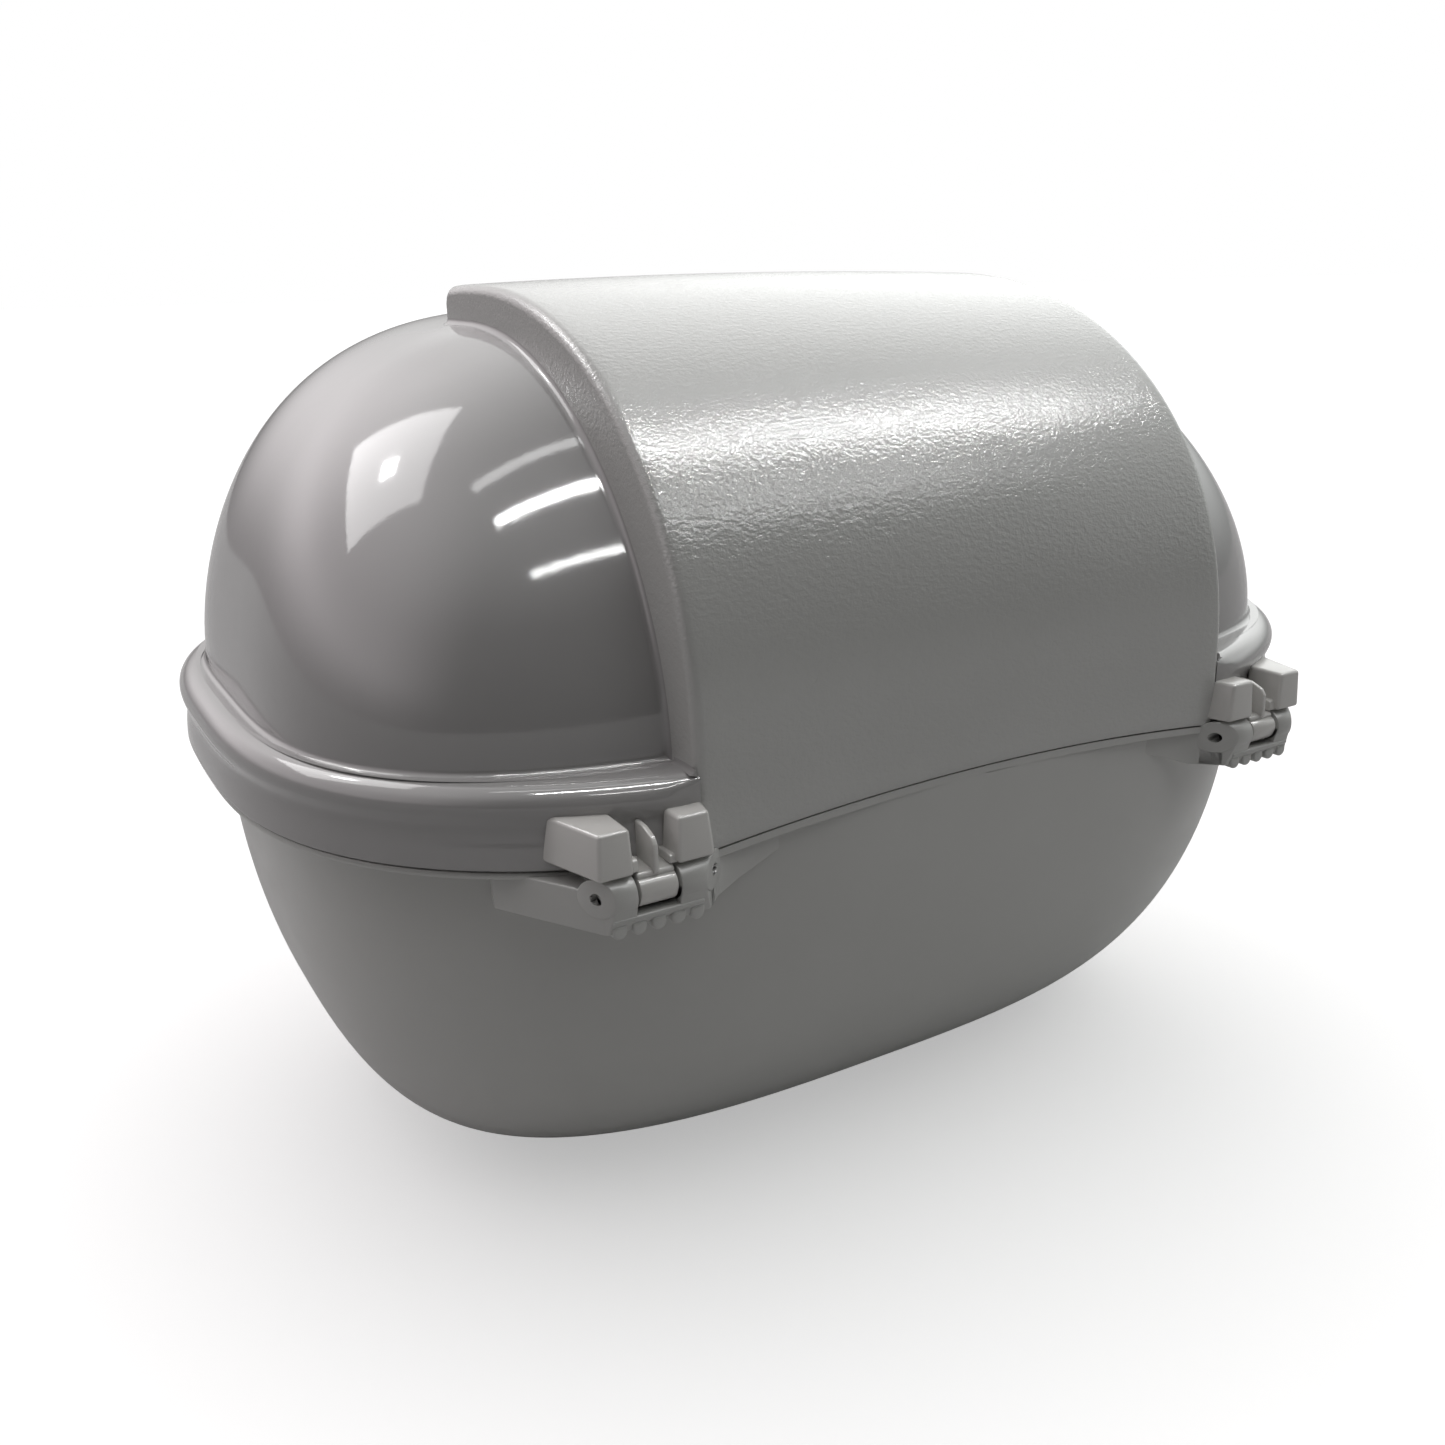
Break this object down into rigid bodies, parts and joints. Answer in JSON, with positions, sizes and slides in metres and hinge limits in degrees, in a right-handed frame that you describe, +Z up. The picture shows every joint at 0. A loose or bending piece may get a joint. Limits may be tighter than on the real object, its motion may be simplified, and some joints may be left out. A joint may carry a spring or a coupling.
{
  "type": "hooded cat litter box",
  "caption": "Boat-shaped litter tray with a domed hood that tips open on snap-in hinges, a raised grained centre band and a swinging entrance flap.",
  "frame": {"origin": "centre of the tray's flat base, on the floor", "axes": "+X along the hinge axis and the box's length, +Y towards the hinge side, -Y towards the entrance, +Z up"},
  "size_m": [0.56, 0.4338, 0.4073],
  "materials": {
    "hood_plastic": "glossy near-white moulded polypropylene, leathery grain on the centre band",
    "tray_plastic": "smooth semi-gloss near-white moulded polypropylene",
    "pin_plastic": "natural off-white nylon rod, slightly glossy",
    "flap_plastic": "clear smoky sheet plastic",
    "filter_pad": "black activated-carbon felt"
  },
  "bodies": {
    "tray": {"tray": "tray_plastic", "hinge_pin_left": "pin_plastic", "hinge_pin_right": "pin_plastic", "front_clip_bar_left": "pin_plastic", "front_clip_bar_right": "pin_plastic"},
    "hood": {"hood": "hood_plastic", "entrance_frame": "hood_plastic", "flap_pin_left": "pin_plastic", "flap_pin_right": "pin_plastic", "filter_holder": "hood_plastic", "carbon_filter": "filter_pad"},
    "flap": {"entrance_flap": "flap_plastic"}
  },
  "joints": [
    {"name": "hood_hinge", "type": "hinge", "parent": "tray", "child": "hood", "pos_m": [0, 0.2095, 0.1946], "axis": [-1, 0, 0], "range_deg": [0, 95]},
    {"name": "flap_hinge", "type": "hinge", "parent": "hood", "child": "flap", "pos_m": [0, -0.205, 0.318], "axis": [1, 0, 0], "range_deg": [-75, 75]}
  ]
}
